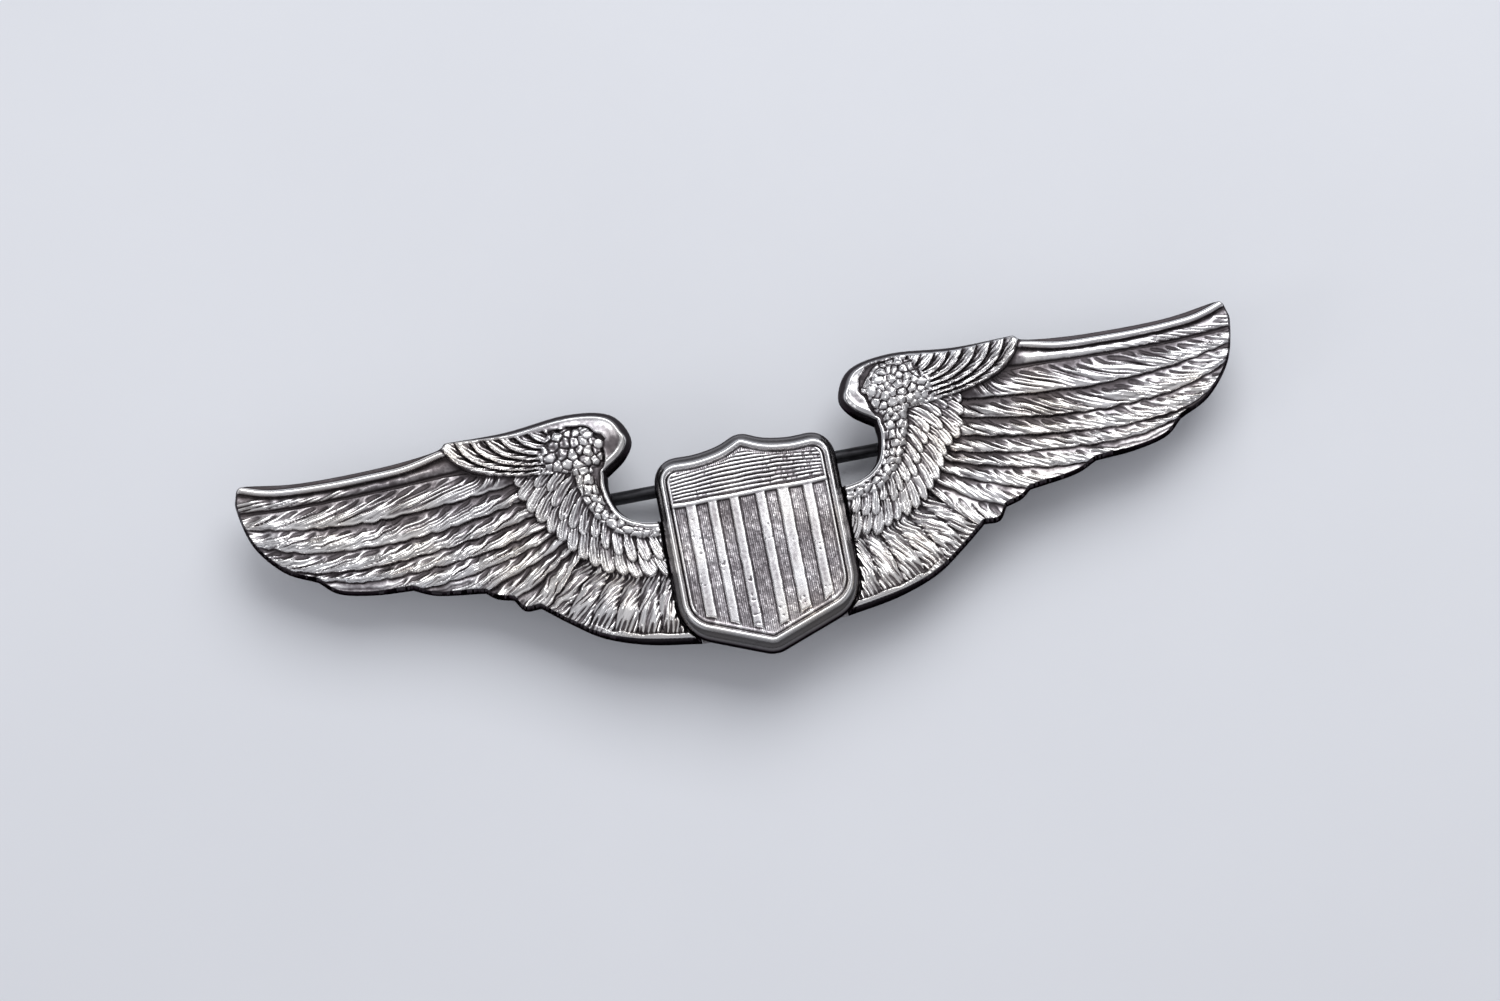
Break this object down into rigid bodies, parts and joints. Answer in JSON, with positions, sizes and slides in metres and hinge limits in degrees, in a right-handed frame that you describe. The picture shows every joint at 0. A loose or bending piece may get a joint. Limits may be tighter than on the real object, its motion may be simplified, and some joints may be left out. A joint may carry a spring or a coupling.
{
  "type": "pilot wings pin badge",
  "caption": "Oxidised silver badge of two spread feathered wings either side of a striped shield, with a hinged pin stem and a turning safety catch on its back.",
  "frame": {"origin": "centre of the badge's outline, at the height of the table that its hinge bracket and catch touch when it lies face up", "axes": "+X along the span to the viewer's right, +Y from the shield's foot to its peak, +Z out of the badge's face"},
  "size_m": [0.0762, 0.0212, 0.0069],
  "materials": {
    "oxidised_silver": "struck sterling silver, polished on its high points, dark patina in its recesses",
    "dark_silver": "oxidised sterling silver, satin",
    "pin_steel": "nickel-plated wire, dulled"
  },
  "bodies": {
    "badge": {"left_wing": "oxidised_silver", "right_wing": "oxidised_silver", "shield": "oxidised_silver", "centre_plate": "dark_silver", "shield_rivet_left": "dark_silver", "shield_rivet_right": "dark_silver", "hinge_patch": "dark_silver", "hinge_bracket": "dark_silver", "hinge_rivet": "pin_steel", "catch_patch": "dark_silver", "catch_housing": "dark_silver"},
    "pin": {"pin_knuckle": "pin_steel", "pin_stem": "pin_steel"},
    "catch_sleeve": {"catch_rotor": "dark_silver"}
  },
  "joints": [
    {"name": "pin_hinge", "type": "hinge", "parent": "badge", "child": "pin", "pos_m": [-0.0195, 0.00416, 0.00165], "axis": [0, 1, 0], "range_deg": [0, 100]},
    {"name": "catch_turn", "type": "hinge", "parent": "badge", "child": "catch_sleeve", "pos_m": [0.0185, 0.00416, 0.00165], "axis": [-1, 0, 0], "range_deg": [0, 130]}
  ]
}
